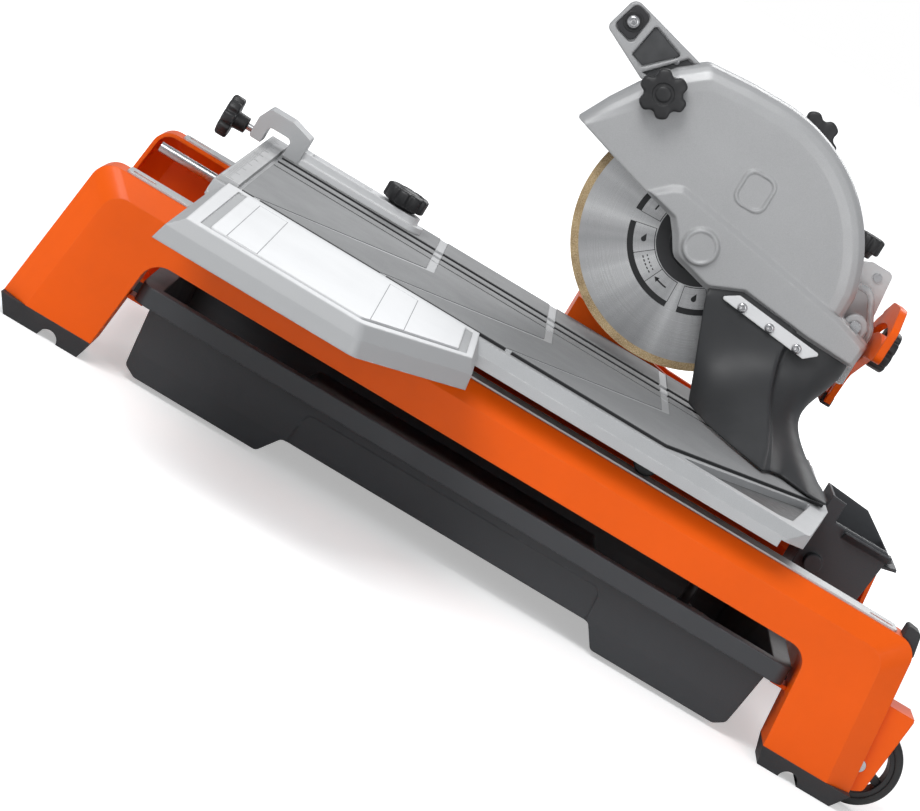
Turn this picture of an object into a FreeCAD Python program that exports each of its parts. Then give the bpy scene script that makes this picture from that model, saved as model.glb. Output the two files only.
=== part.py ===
import FreeCAD, Part
import math
import os

# Wet saw with a rolling cart.  Millimetres.  X runs along the cart travel, Y towards the
# motor side, Z up.  The numbers below are laid out from the point on the floor midway between
# the four feet; the written parts are moved so that the origin is on the floor under the
# middle of the whole outline (FEET_X, FEET_Y is where the feet's midpoint then lies).

V = FreeCAD.Vector

# ---- driving dimensions ----
BLADE_R = 127.0          # 10-inch blade
BLADE_T = 2.2
BX, BY, BZ = 92.5, 133.0, 344.0      # blade centre; BY is the blade plane
PIN_X, PIN_Z, PIN_R = 264.0, 353.0, 6.0   # plunge pin, along Y
FIT = 0.06               # radial running clearance
DECK_Z = 204.0           # top of the rubber pads
RIM_Z = 200.5            # top of the cart casting
PAD_T = 5.0
BEAM_TOP = 164.0
BEAM_LOW = 111.0
CREASE_Z = 145.0
WELL_Z = 5.0             # underside of the tray wells
WELL_WALL = 3.5          # thickness of the tray floor
LEG_Z = 18.0             # bottom of the sheet-metal legs
FRAME_Y = 227.0          # outer face of the front and rear frames
FRAME_D = 52.0           # depth of each frame
SKIN = 4.0
TOP_X, FOOT_X = 420.5, 439.0         # half length at the top and at the floor
IN_TOP, IN_FOOT = 338.0, 348.0       # half opening between the legs
ROD_Y, ROD_Z, ROD_R = 160.0, 148.0, 5.5
ROLL_R, ROLL_Z = 12.5, 178.55
ROLL_Y = 190.0
ROLL_X = (-140.0, 130.0)
WHEEL_X, WHEEL_Z, WHEEL_R = 435.0, 43.0, 41.0
TILT_Y, TILT_Z = 133.0, 204.0        # bevel axis, along X
LOCK_R = 161.2           # radius of the quadrant slot about the bevel axis
LOCK_DEG = 58.2          # where the lock bolt stands in the slot at rest
MOTOR_R = 55.0
FEET_X, FEET_Y = -18.5, 87.0        # midpoint of the feet in the written frame


# ---- helpers ----
def point(plane, a, b, at):
    if plane == "xz":
        return V(a, at, b)
    if plane == "yz":
        return V(at, a, b)
    return V(a, b, at)


def normal(plane):
    return {"xz": V(0, 1, 0), "yz": V(1, 0, 0), "xy": V(0, 0, 1)}[plane]


def outline(plane, pts, at):
    """Closed wire. A point is (a, b) or (a, b, corner radius); (a, b, "arc") bends the edge
    between its neighbours through that point."""
    n = len(pts)
    ends = []
    for i, p in enumerate(pts):
        here = V(p[0], p[1], 0)
        if len(p) == 2 or p[2] == "arc" or p[2] == 0:
            ends.append((here, here, None))
            continue
        before = V(pts[i - 1][0], pts[i - 1][1], 0) - here
        after = V(pts[(i + 1) % n][0], pts[(i + 1) % n][1], 0) - here
        before.normalize()
        after.normalize()
        half = before.getAngle(after) / 2.0
        if half > 1.55:
            ends.append((here, here, None))
            continue
        reach = p[2] / math.tan(half)
        middle = before + after
        middle.normalize()
        mid = here + middle * (p[2] / math.sin(half) - p[2])
        ends.append((here + before * reach, here + after * reach, mid))
    edges = []
    for i in range(n):
        if len(pts[i]) == 3 and pts[i][2] == "arc":
            continue
        start_in, start_out, mid = ends[i]
        if mid is not None:
            edges.append(Part.Arc(*[point(plane, q.x, q.y, at) for q in (start_in, mid,
                                                                         start_out)]).toShape())
        j = (i + 1) % n
        if len(pts[j]) == 3 and pts[j][2] == "arc":
            k = (j + 1) % n
            bend = [start_out, ends[j][0], ends[k][0]]
            edges.append(Part.Arc(*[point(plane, q.x, q.y, at) for q in bend]).toShape())
        elif (ends[j][0] - start_out).Length > 1e-6:
            edges.append(Part.makeLine(point(plane, start_out.x, start_out.y, at),
                                       point(plane, ends[j][0].x, ends[j][0].y, at)))
    return Part.Wire(edges)


def prism(plane, pts, lo, hi):
    return Part.Face(outline(plane, pts, lo)).extrude(normal(plane) * (hi - lo))


def loft(plane, pts0, at0, pts1, at1):
    return Part.makeLoft([outline(plane, pts0, at0), outline(plane, pts1, at1)], True, True)


def box(x0, x1, y0, y1, z0, z1):
    return Part.makeBox(x1 - x0, y1 - y0, z1 - z0, V(x0, y0, z0))


def cyl(axis, a, b, r, lo, hi):
    """Cylinder along an axis; a, b are its centre in the two other axes, in X, Y, Z order."""
    if axis == "x":
        return Part.makeCylinder(r, hi - lo, V(lo, a, b), V(1, 0, 0))
    if axis == "y":
        return Part.makeCylinder(r, hi - lo, V(a, lo, b), V(0, 1, 0))
    return Part.makeCylinder(r, hi - lo, V(a, b, lo), V(0, 0, 1))


def join(shapes):
    out = shapes[0]
    if len(shapes) > 1:
        out = shapes[0].multiFuse(shapes[1:])
    return out.removeSplitter()


def group(shapes):
    return Part.makeCompound(shapes)


def flip_y(shape):
    return shape.mirror(V(0, 0, 0), V(0, 1, 0))


def rect(a0, a1, b0, b1, r=0.0):
    return [(a0, b0, r), (a1, b0, r), (a1, b1, r), (a0, b1, r)]


def pipe(points, r, bend):
    """Round bar along straight runs joined by arcs."""
    pts = [V(*p) for p in points]
    edges, start = [], pts[0]
    for i in range(1, len(pts) - 1):
        here = pts[i]
        before = pts[i - 1] - here
        after = pts[i + 1] - here
        before.normalize()
        after.normalize()
        half = before.getAngle(after) / 2.0
        reach = bend / math.tan(half)
        middle = before + after
        middle.normalize()
        a, b = here + before * reach, here + after * reach
        edges.append(Part.makeLine(start, a))
        edges.append(Part.Arc(a, here + middle * (bend / math.sin(half) - bend), b).toShape())
        start = b
    edges.append(Part.makeLine(start, pts[-1]))
    ring = Part.Wire([Part.Circle(pts[0], pts[1] - pts[0], r).toShape()])
    return Part.Wire(edges).makePipeShell([ring], True, False)


def fluted(axis, a, b, r, lo, hi, flutes, depth):
    """Round knob with scallops down its side and a chamfered top edge."""
    body = cyl(axis, a, b, r, lo, hi)
    cuts = []
    for i in range(flutes):
        t = 2 * math.pi * i / flutes
        cuts.append(cyl(axis, a + (r + depth * 0.9) * math.cos(t), b + (r + depth * 0.9) * math.sin(t),
                        depth * 1.9, lo - 1, hi + 1))
    return body.cut(group(cuts))


STAR_TURN = math.radians(3.7)


def star(a, b, r, lo, hi, lobes):
    """Lobed star knob along Y."""
    parts = [cyl("y", a, b, r * 0.78, lo, hi)]
    for i in range(lobes):
        t = 2 * math.pi * i / lobes - STAR_TURN
        parts.append(cyl("y", a + r * 0.73 * math.cos(t), b + r * 0.73 * math.sin(t), r * 0.27, lo + 1,
                         hi - 1))
    return join(parts)


# ---- frame ----
def portal_outer(inset_side, inset_top):
    slope = (FOOT_X - TOP_X) / (BEAM_TOP - LEG_Z)
    top = BEAM_TOP - inset_top
    xt = TOP_X + slope * inset_top - inset_side
    xf = FOOT_X - inset_side
    return [(-xf, LEG_Z), (-IN_FOOT, LEG_Z), (-IN_TOP, BEAM_LOW, 20), (IN_TOP, BEAM_LOW, 20),
            (IN_FOOT, LEG_Z), (xf, LEG_Z), (xt, top, 19), (-xt, top, 19)]


def portal_inner():
    s = SKIN
    low = BEAM_LOW + s
    return [(-FOOT_X + s, LEG_Z + s, 0), (-IN_FOOT - s, LEG_Z + s, 0), (-IN_TOP - s, low, 14),
            (IN_TOP + s, low, 14), (IN_FOOT + s, LEG_Z + s, 0), (FOOT_X - s, LEG_Z + s, 0),
            (TOP_X - s, BEAM_TOP - s, 14), (-TOP_X + s, BEAM_TOP - s, 14)]


def wheel_space():
    return cyl("y", WHEEL_X, WHEEL_Z, WHEEL_R + 3, -200, -168)


def front_portal():
    full = portal_outer(0, 0)
    face = portal_outer(25, BEAM_TOP - CREASE_Z)
    depth = FRAME_Y - 15
    skin = join([loft("xz", face, -FRAME_Y, full, -depth), prism("xz", full, -depth, -FRAME_Y + FRAME_D)])
    inner = portal_inner()
    small = [(x * 0.952 if abs(x) > 360 else x, min(z, CREASE_Z - 3), r * 0.6) for x, z, r in inner]
    hollow = join([loft("xz", small, -FRAME_Y + SKIN, inner, -depth + 2),
                   prism("xz", inner, -depth + 2, -FRAME_Y + FRAME_D + 1)])
    return skin.cut(hollow).cut(wheel_space()).cut(cyl("y", WHEEL_X, WHEEL_Z, 6.0, -206, -160))


def frame_shell():
    front = front_portal()
    return group([front, flip_y(front)])


def track_caps():
    cap = prism("xy", rect(-398, 398, -209, -177, 5), BEAM_TOP, BEAM_TOP + 2)
    for x in (-382, 382):
        cap = cap.cut(prism("xy", rect(x - 12, x + 12, -201, -193, 3.9), BEAM_TOP - 1, BEAM_TOP + 3))
    return group([cap, flip_y(cap)])


def cross_members(shell):
    parts = []
    for s in (-1, 1):
        tube = box(355, 385, -223, 223, 60, 102).cut(box(358, 382, -224, 224, 63, 99))
        parts.append(tube if s > 0 else tube.mirror(V(0, 0, 0), V(1, 0, 0)))
        for side in (-1, 1):
            ledge = box(327, 347, -201, -177, 66, 69.8).cut(shell)
            ledge = ledge if side < 0 else flip_y(ledge)
            parts.append(ledge if s > 0 else ledge.mirror(V(0, 0, 0), V(1, 0, 0)))
    for x in (-338, 392):
        block = prism("yz", [(FRAME_Y - FRAME_D, 136), (FRAME_Y - FRAME_D, 160), (166, 160), (150, 154),
                             (150, 142), (166, 136)], x - 4, x + 4)
        parts.append(block.cut(cyl("x", ROD_Y, ROD_Z, ROD_R, x - 10, x + 10)))
    return group([solid for p in parts for solid in p.Solids])


def feet():
    out = []
    for sx in (-1, 1):
        top = [(sx * IN_FOOT, -FRAME_Y), (sx * FOOT_X, -FRAME_Y), (sx * FOOT_X, -FRAME_Y + FRAME_D),
               (sx * IN_FOOT, -FRAME_Y + FRAME_D)]
        low = [(sx * 353, -222), (sx * 428, -222), (sx * 428, -180), (sx * 353, -180)]
        foot = loft("xy", low, 0, top, LEG_Z)
        foot = foot.cut(cyl("y", sx * 384, 0, 9.5, -240, -160)).cut(wheel_space())
        solids = sorted(foot.Solids, key=lambda s: -s.Volume)[:1]
        out += [solids[0], flip_y(solids[0])]
    return group(out)


def guide_rod():
    rod = cyl("x", ROD_Y, ROD_Z, ROD_R, -412, 404)
    return rod


def arc_slot(r, deg0, deg1, half, x0, x1):
    """Curved slot about the bevel axis."""
    def spot(rad, deg):
        t = math.radians(deg)
        return (TILT_Y + rad * math.cos(t), TILT_Z + rad * math.sin(t))
    mid = (deg0 + deg1) / 2.0
    pts = [spot(r + half, deg0), spot(r + half, mid) + ("arc",), spot(r + half, deg1),
           spot(r, deg1 + math.degrees(half / r)) + ("arc",), spot(r - half, deg1),
           spot(r - half, mid) + ("arc",), spot(r - half, deg0),
           spot(r, deg0 - math.degrees(half / r)) + ("arc",)]
    return prism("yz", pts, x0, x1)


def column():
    """Casting on the rear frame: foot, box column and the quadrant plate."""
    foot = prism("yz", [(227, 105, 3), (227, 165, 4), (243, 178.5, 4), (243, 232, 6), (300, 232, 10),
                        (300, 122, 12), (280, 105, 3)], 24, 299)
    foot = foot.cut(prism("yz", [(250, 100), (250, 222, 4), (290, 222, 4), (290, 126, 6), (276, 100)], 32,
                          284))
    ribs = [box(x - 3, x + 3, 249, 291, 125, 223) for x in (100, 190)]
    tower = prism("yz", [(243, 180), (243, 330, 8), (300, 300, 20), (300, 180)], 236, 274)
    shoulder = prism("yz", [(243, 290), (243, 330, 8), (299, 300.5), (299, 290)], 262, 299)
    slope = prism("xz", [(20, 240), (20, 227), (145, 202), (305, 196), (305, 240)], 220, 305)
    plate = prism("yz", [(243, 236), (236, 246, 12), (222, 300, 20), (150, 331, 30), (84, 336, 10),
                         (82, 372, 10),
                         (110, 393, 20), (170, 391, 30), (228, 362, 30), (252, 325, 8), (270, 236)], 291, 299)
    plate = plate.cut(box(280, 310, 200, 300, 200, 264))
    body = join([join([foot] + ribs).cut(slope), tower, shoulder, plate])
    body = body.cut(arc_slot(LOCK_R, LOCK_DEG - 1.5, LOCK_DEG + 46.5, 5.3, 285, 305))
    return body.cut(group([box(270, 292, 200, 242.5, 236, 400)]))


def wheel_bracket(shell):
    front = prism("xz", [(426, 104), (456, 104, 3), (450, 24, 5), (440, 19, 2), (432, 32)], -205, -200)
    back = prism("xz", [(386, 104), (456, 104, 3), (450, 24, 5), (420, 19, 4), (386, 60, 4)], -168, -163)
    top = box(421, 455, -205, -163, 100, 104)
    side = box(385, 392, -175, -163, 62, 102)
    body = join([front, back, top, side]).cut(shell)
    body = body.cut(cyl("y", WHEEL_X, WHEEL_Z, 6.0, -210, -160))
    body = body.cut(box(300, 500, -200, -175.0, 0, 99.9))
    return max(body.Solids, key=lambda s: s.Volume)


def wheel_brackets(shell):
    one = wheel_bracket(shell)
    return group([one, flip_y(one)])


def wheel_axles():
    one = join([cyl("y", WHEEL_X, WHEEL_Z, 6.0, -205, -161), cyl("y", WHEEL_X, WHEEL_Z, 9, -163 + 0, -159)])
    return group([one, flip_y(one)])


def wheel():
    y0, y1 = -196.0, -172.0
    rim = cyl("y", WHEEL_X, WHEEL_Z, 33, y0 + 2, y1 - 2).cut(cyl("y", WHEEL_X, WHEEL_Z, 28, y0, y1))
    parts = [rim, cyl("y", WHEEL_X, WHEEL_Z, 12, y0, y1)]
    for i in range(5):
        arm = box(WHEEL_X + 9, WHEEL_X + 30, -188, -180, WHEEL_Z - 4, WHEEL_Z + 4)
        parts.append(arm.rotate(V(WHEEL_X, 0, WHEEL_Z), V(0, 1, 0), 72 * i + 20))
    return join(parts).cut(cyl("y", WHEEL_X, WHEEL_Z, 6.0 + FIT, y0 - 1, y1 + 1))


def tyre():
    y0, y1 = -196.0, -172.0
    ring = cyl("y", WHEEL_X, WHEEL_Z, WHEEL_R, y0, y1)
    ring = ring.makeChamfer(4, [e for e in ring.Edges if e.Curve.TypeId == "Part::GeomCircle"])
    return ring.cut(cyl("y", WHEEL_X, WHEEL_Z, 33, y0 - 1, y1 + 1))


def corner_bumper():
    return prism("xz", [(404.6, BEAM_TOP - 1), (404.6, 176, 3), (418, 174, 4), (423, 152, 3), (419.8, 150)],
                 -208, -186).cut(front_portal())


def frame_bolts():
    heads = []
    for x in (45, 105, 165, 225, 280):
        heads.append(cyl("y", x, 128.5, 6.5, 219, 223).cut(cyl("y", x, 128.5, 3, 218, 221)))
    for s in (-1, 1):
        for z in (60, 88):
            head = cyl("y", 405, z, 5, -163, -159.5)
            heads.append(head if s < 0 else flip_y(head))
    return group(heads)


# ---- cart ----
CART_SHAPE = [(-328, -239, 4), (266, -239, 10), (285, -222, 8), (318, -16, 12), (318, 239, 4), (-328, 239, 4)]
PAD_SHAPE = [(-302, -212), (135, -212), (312, -8), (312, 236), (-302, 236)]
GAPS = (-126.3, 2.8, 132.3)
GAP_W = 9.0


def gap_strip(x, z0, z1, grow=0.0):
    """Bright strip between two pads: straight from the back, then slanting to the front."""
    bend_y, run = -24.0, 0.87
    front = -212.0
    dx = run * (bend_y - front)
    a, b = x - grow, x + GAP_W + grow
    return prism("xy", [(a, 236), (a, bend_y), (a - dx, front), (b - dx - 3, front), (b, bend_y - 3),
                        (b, 236)],
                 z0, z1)


def grooves(grow=0.0):
    return [box(-303, 320, 123 - grow, 143 + grow, 194, 210), box(-303, 313, 84, 100, DECK_Z - 3.5, 210),
            box(-303, 313, 49, 56, DECK_Z - 2, 210)]


def cart_casting():
    body = prism("xy", CART_SHAPE, 187, RIM_Z)
    under = [(-318, -228, 3), (262, -228, 5), (276, -216, 5), (307, -14, 8), (307, 229, 3), (-318, 229, 3)]
    body = body.cut(prism("xy", under, 186, 192.5))
    body = body.cut(prism("xy", PAD_SHAPE, DECK_Z - PAD_T, 210))
    skirt_f = box(-324, 262, -239, -229, 179.5, 190)
    skirt_r = box(-324, 314, 229, 239, 179.5, 190)
    ribs = [box(x - 2, x + 2, -228, 229, 186, 193) for x in (-215, -60, 60, 215)]
    strips = [gap_strip(x, DECK_Z - PAD_T - 0.5, DECK_Z - 0.6).common(prism("xy", PAD_SHAPE, 190,
                                                                            210)) for x in GAPS]
    body = join([body, skirt_f, skirt_r] + ribs + strips)
    for g in grooves():
        body = body.cut(g)
    edge = prism("yz", [(-240, 189), (-240, 205), (-227, 205), (-226, RIM_Z)], -330, 320)
    pocket = prism("xy", [(152, -208, 3), (254, -208, 8), (268, -196, 8), (298, -34, 2)], RIM_Z - 7, 210)
    return body.cut(edge).cut(pocket)


def deck_pads():
    body = prism("xy", PAD_SHAPE, DECK_Z - PAD_T, DECK_Z)
    for x in GAPS:
        body = body.cut(gap_strip(x, 190, 210, 0.0))
    for g in grooves():
        body = body.cut(g)
    return group(body.Solids)


def end_ruler():
    bar = prism("xz", [(-326, RIM_Z), (-326, 205.2, 0.6), (-325.2, 206, 0.2), (-306.6, 206, 0.6),
                       (-306, RIM_Z)],
                -211, 236)
    return bar


def cart_bushings():
    out = []
    for x in ROLL_X:
        block = prism("yz", [(151, 139, 3), (169, 139, 3), (169, 187), (172, 192.5), (148, 192.5),
                             (151, 187)],
                      x - 14, x + 14)
        out.append(block.cut(cyl("x", ROD_Y, ROD_Z, ROD_R + FIT, x - 20, x + 20)))
    return group(out)


def roller_brackets():
    """Cheeks and stub axles of the four cart rollers."""
    out = []
    for x in ROLL_X:
        for s in (-1, 1):
            cheek = prism("xz", [(x - 9, 192.5), (x - 7, 174, 4), (x + 7, 174, 4), (x + 9, 192.5)], 179, 182)
            axle = cyl("y", x, ROLL_Z, 4, 182, 199)
            one = join([cheek, axle])
            out.append(one if s > 0 else flip_y(one))
    return group(out)


def roller(x, s):
    body = cyl("y", x, ROLL_Z, ROLL_R, 183, 197)
    body = body.makeChamfer(1.5, [e for e in body.Edges if e.Curve.TypeId == "Part::GeomCircle"])
    body = body.cut(cyl("y", x, ROLL_Z, 4 + FIT, 180, 200))
    return body if s > 0 else flip_y(body)


def splash_box():
    """Open plastic trough with flared lips, hung on the cart's outfeed end."""
    y0, y1 = 52.0, 122.0
    outer = prism("xz", [(324, 116, 6), (396, 116, 8), (402, 176), (408, 181), (372, 205), (324, 209)], y0,
                  y1)
    inner = prism("xz", [(327, 119, 5), (393, 119, 6), (399.5, 177), (400, 190), (372, 220), (327, 220)],
                  y0 + 3, y1 - 3)
    slope = prism("yz", [(y0 - 20, 172), (y0 + 40, 214), (y0 - 20, 214)], 340, 420)
    lip = prism("xz", [(399, 173.5), (402, 171.5), (416, 175), (415, 178)], y0, y1)
    front_lip = prism("yz", [(y0, 177), (y0 + 3, 179), (y0 - 8, 186), (y0 - 10, 184)], 352, 404)
    tab = box(318, 327, 60, 115, 188, 199)
    hinge = cyl("y", 341, 143, 9, y0 - 14, y0)
    return join([outer.cut(inner).cut(slope), lip, front_lip, tab, hinge])


# ---- extension table ----
def extension_table():
    low = [(-329, -241), (-329, -523), (-145, -523, 12), (-49, -369, 8), (-49, -241)]
    mid = [(-325, -241), (-325, -521), (-147, -521, 11), (-51, -368, 8), (-51, -241)]
    top = [(-315, -241), (-313, -515), (-151, -515, 9), (-58, -366, 7), (-58, -241)]
    body = join([loft("xy", low, 176.5, mid, 190.5), loft("xy", mid, 190.5, top, DECK_Z - 1.2)])
    hollow = [(-320, -246), (-320, -516), (-150, -516), (-56, -364), (-56, -246)]
    upper = [(-308, -246), (-308, -505), (-155, -505), (-64, -360), (-64, -246)]
    body = body.cut(prism("xy", hollow, 170, 188)).cut(prism("xy", upper, 187, 197.4))
    lip = box(-315, -58, -241.5, -213, 200.6, DECK_Z - 1.2)
    ribs = [box(x - 1.5, x + 1.5, -480, -246, 184, 198) for x in (-240, -150)]
    well = [(-303, -228, 4), (-303, -500, 3), (-153, -500, 6), (-64, -362, 4), (-64, -228, 4)]
    mat = [(-294, -232, 2), (-294, -496, 2), (-155, -496, 5), (-72, -367, 2), (-72, -232, 2)]
    body = join([body, lip] + ribs).cut(prism("xy", well, 201.4, 210))
    return join([body, prism("xy", mat, 201.2, DECK_Z - 0.1)])


# ---- rip guide ----
GY0, GY1 = 147.0, 189.0
GYC = (GY0 + GY1) / 2.0
GUIDE_SCREW_Z = 209.0
ARM_TOP = 218.0


def guide_block():
    body = prism("xz", [(-342, DECK_Z + 0.2, 3), (-342, 226, 5), (-336, 238, 4), (-310, 238, 6),
                        (-286, 231, 3),
                        (-286, DECK_Z + 0.2)], GY0, GY1)
    arch = prism("xz", [(-329, 200), (-329, 222, 5), (-303, 222, 5), (-303, 200)], GY0 - 1, GY1 + 1)
    return body.cut(arch).cut(cyl("x", GYC, GUIDE_SCREW_Z, 4.1, -345, -325))


def guide_arm():
    low = [(-286, GY0 + 1), (-167, GY0 + 1), (-147, GYC, "arc"), (-167, GY1 - 1), (-286, GY1 - 1)]
    high = [(-286, GY0 + 4), (-171, GY0 + 4), (-154, GYC, "arc"), (-171, GY1 - 4), (-286, GY1 - 4)]
    body = join([prism("xy", low, DECK_Z + 0.2, 210.5), prism("xy", high, 210, ARM_TOP)])
    cut = prism("xy", [(-278, GY0 + 9, 3), (-210, GY0 + 9, 3), (-210, GY1 - 9, 3), (-278, GY1 - 9, 3)],
                214.5, 232)
    return body.cut(cut).cut(cyl("z", -177, GYC, 4.1, 206, 232))


def side_knob():
    head = fluted("x", GYC, GUIDE_SCREW_Z, 22, -375, -362, 9, 3.0)
    hub = cyl("x", GYC, GUIDE_SCREW_Z, 9, -362.5, -349)
    return join([head, hub, cyl("x", GYC, GUIDE_SCREW_Z, 4, -350, -331)])


def top_knob():
    head = fluted("z", -177, GYC, 23, ARM_TOP + 3.5, ARM_TOP + 17, 9, 3.0)
    hub = cyl("z", -177, GYC, 15, ARM_TOP + 0.2, ARM_TOP + 4)
    cap = cyl("z", -177, GYC, 15, ARM_TOP + 17, ARM_TOP + 19)
    return join([head, hub, cap, cyl("z", -177, GYC, 4, 206.5, ARM_TOP + 1)])


# ---- bevel cradle ----
def lock_spot():
    t = math.radians(LOCK_DEG)
    return TILT_Y + LOCK_R * math.cos(t), TILT_Z + LOCK_R * math.sin(t)


def cradle():
    ly, lz = lock_spot()
    block = prism("xz", [(246, 292, 6), (289.5, 292, 3), (289.5, 330), (240, 330), (240, 306, 4)], 172, 236)
    lugs = []
    for y0, y1 in ((172, 180.5), (226.5, 236)):
        lugs.append(join([cyl("y", PIN_X, PIN_Z, 14, y0, y1), box(PIN_X - 14, PIN_X + 14, y0, y1, 325,
                                                                  PIN_Z)]))
    cheek = prism("yz", [(196, 292), (236, 292), (236, 350, 8), (224, 358, 6), (206, 356, 8), (196, 330)],
                  280, 289.5)
    body = join([block, cheek] + lugs)
    body = body.cut(cyl("y", PIN_X, PIN_Z, PIN_R, 160, 250))
    return body.cut(cyl("x", ly, lz, 5.1, 276, 295))


def hinge_pin():
    pin = cyl("y", PIN_X, PIN_Z, PIN_R, 117.5, 239)
    return join([pin, cyl("y", PIN_X, PIN_Z, 8.5, 236, 240)])


def bevel_knob():
    ly, lz = lock_spot()
    head = fluted("x", ly, lz, 22.5, 305, 323, 8, 3.4)
    hub = cyl("x", ly, lz, 12, 299.6, 306)
    return join([head, hub, cyl("x", ly, lz, 5, 281, 300)])


# ---- head ----
def head_arm():
    ring = cyl("y", BX, BZ, 63, 190, 222)
    beam = prism("xz", [(130, 326), (168, 326, 10), (205, 338, 10), (262, 340), (262, 366), (248, 376, 6),
                        (200, 380, 10), (130, 388)], 192, 220)
    barrel = cyl("y", PIN_X, PIN_Z, 13, 181, 226)
    lug = box(232, 250, 190, 206, 370, 392)
    body = join([ring, beam, barrel, lug])
    body = body.cut(cyl("y", BX, BZ, MOTOR_R, 180, 230))
    body = body.cut(cyl("y", PIN_X, PIN_Z, PIN_R + FIT, 170, 240))
    return body.cut(cyl("z", 241, 198, 4.1, 368, 395))


def motor_housing():
    body = join([cyl("y", BX, BZ, MOTOR_R, 184, 286), cyl("y", BX, BZ, 31, 166, 185)])
    fins = [cyl("y", BX, BZ, MOTOR_R + 4, y, y + 3).cut(cyl("y", BX, BZ, MOTOR_R - 2, y - 1, y + 4))
            for y in range(230, 284, 8)]
    body = join([body] + fins)
    return body.cut(cyl("y", BX, BZ, 8.06, 160, 195))


def motor_endbell():
    bell = join([cyl("y", BX, BZ, 57, 286, 300), Part.makeCone(57, 44, 16, V(BX, 300, BZ), V(0, 1, 0))])
    slots = []
    for i in range(10):
        slot = box(BX + 20, BX + 38, 310, 320, BZ - 3, BZ + 3)
        slots.append(slot.rotate(V(BX, 0, BZ), V(0, 1, 0), 36 * i))
    caps = [cyl("x", 293, BZ, 6.8, BX + 50, BX + 64), cyl("x", 293, BZ, 6.8, BX - 64, BX - 50)]
    return join([bell.cut(group(slots))] + caps)


# guard outline, seen from the operator's side, going round from the lower left tip
GUARD_LOW = [(119, 310.5, 12), (74.5, 322, 14), (62, 341, 10), (52, 353.5, 5), (12.7, 364), (-31, 376.6)]
GUARD_FULL = [(-73, 389), (-57, 420), (-40, 447), (-16, 479), (9, 499.5, 14), (57, 503.6),
              (BX, 504), (BX + 160 * math.cos(math.radians(51)), BZ + 160 * math.sin(math.radians(51)),
                          "arc"),
              (BX + 160 * math.cos(math.radians(12)), BZ + 160 * math.sin(math.radians(12))), (249, 356, 3),
              (284, 345, 4), (281, 317, 5), (229, 319), (152, 326, 6)] + GUARD_LOW
GUARD_FACE = [(-65, 387), (-42, 411), (-24, 434), (1, 461), (22, 478, 12), (63, 481.5),
              (BX, 482), (BX + 138 * math.cos(math.radians(51)), BZ + 138 * math.sin(math.radians(51)),
                          "arc"),
              (BX + 138 * math.cos(math.radians(12)), BZ + 138 * math.sin(math.radians(12))), (229, 350, 3),
              (281, 343, 4), (280, 318, 5), (229, 319), (152, 326, 6)] + GUARD_LOW
# inside of the shell: 3 mm in from the rim, open along the lower edge
IN_TAIL = [(222, 300), (152, 300), (119, 295), (74, 300), (50, 330), (40, 350), (12, 360), (-32, 370)]
GUARD_IN = [(-69, 383), (-54, 418), (-37, 445), (-13, 477), (11, 496), (57, 500.5),
            (BX, 501), (BX + 157 * math.cos(math.radians(50)), BZ + 157 * math.sin(math.radians(50)), "arc"),
            (BX + 157 * math.cos(math.radians(14)), BZ + 157 * math.sin(math.radians(14))), (232, 352),
            (230, 335)] + IN_TAIL
GUARD_IN_FACE = [(-62, 383), (-41, 411), (-24, 436), (-1, 465), (17, 481), (60, 485.5),
                 (BX, 486), (BX + 142 * math.cos(math.radians(50)), BZ + 142 * math.sin(math.radians(50)),
                             "arc"),
                 (BX + 142 * math.cos(math.radians(14)), BZ + 142 * math.sin(math.radians(14))), (226, 350),
                 (226, 335)] + IN_TAIL
G_FRONT, G_EDGE, G_SPLIT = 105.0, 119.0, 131.4


def between(inner, outer, share):
    """Outline part of the way from one to another of the same make."""
    return [(a[0] + (b[0] - a[0]) * share, a[1] + (b[1] - a[1]) * share) + tuple(a[2:])
            for a, b in zip(inner, outer)]


def guard_outer():
    steps = [(0.0, G_FRONT), (0.42, G_FRONT + 1.6), (0.72, G_FRONT + 4.6), (0.92, G_FRONT + 9.0),
             (1.0, G_EDGE)]
    rounds = [loft("xz", between(GUARD_FACE, GUARD_FULL, s0), y0, between(GUARD_FACE, GUARD_FULL, s1), y1)
              for (s0, y0), (s1, y1) in zip(steps, steps[1:])]
    skin = join(rounds + [prism("xz", GUARD_FULL, G_EDGE, G_SPLIT)])
    hollow = join([loft("xz", GUARD_IN_FACE, G_FRONT + 3, GUARD_IN, G_EDGE + 1),
                   prism("xz", GUARD_IN, G_EDGE + 1, G_SPLIT + 1)])
    skin = skin.cut(hollow)
    arm_low = [(281, 318, 4), (229, 320), (152, 327, 6), (119, 311.5, 11), (75, 323, 13), (63, 342, 10),
               (53, 354, 5)]
    arm = [(20, 364), (38, 381, 6), (48, 386, 6), (120, 376), (246, 355), (283, 344, 4)] + arm_low
    rise = [(27, 364), (42, 376, 6), (51, 380, 6), (119, 370), (245, 349), (278, 339, 4),
            (277, 321, 4), (228, 323), (151, 331, 6), (118, 316, 11), (79, 326, 13), (68, 344, 10), (57,
                                                                                                     357, 5)]
    pad = loft("xz", rise, 99.5, arm, G_FRONT + 0.2)
    boss = Part.makeCone(17, 19, 4, V(BX, 95, BZ), V(0, 1, 0))
    boss = join([boss, cyl("y", BX, BZ, 19, 99, 101)]).cut(Part.makeCone(15, 14, 1, V(BX, 94.9, BZ),
                                                                         V(0, 1, 0)))
    ear = join([cyl("y", PIN_X, PIN_Z, 12.5, 121, G_SPLIT), box(247, 276, 121, G_SPLIT, 335, PIN_Z)])
    badge = prism("xz", rect(93, 127, 398, 436, 11), 103.9, 106).cut(prism("xz",
                                                                           rect(96, 124, 401, 433,
                                                                                9), 103, 107))
    body = join([skin, pad, boss, ear, badge])
    body = body.cut(cyl("y", PIN_X, PIN_Z, PIN_R + FIT, 110, 140))
    return body.cut(cyl("y", -16, 452, 4.2, 100, 140))


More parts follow.
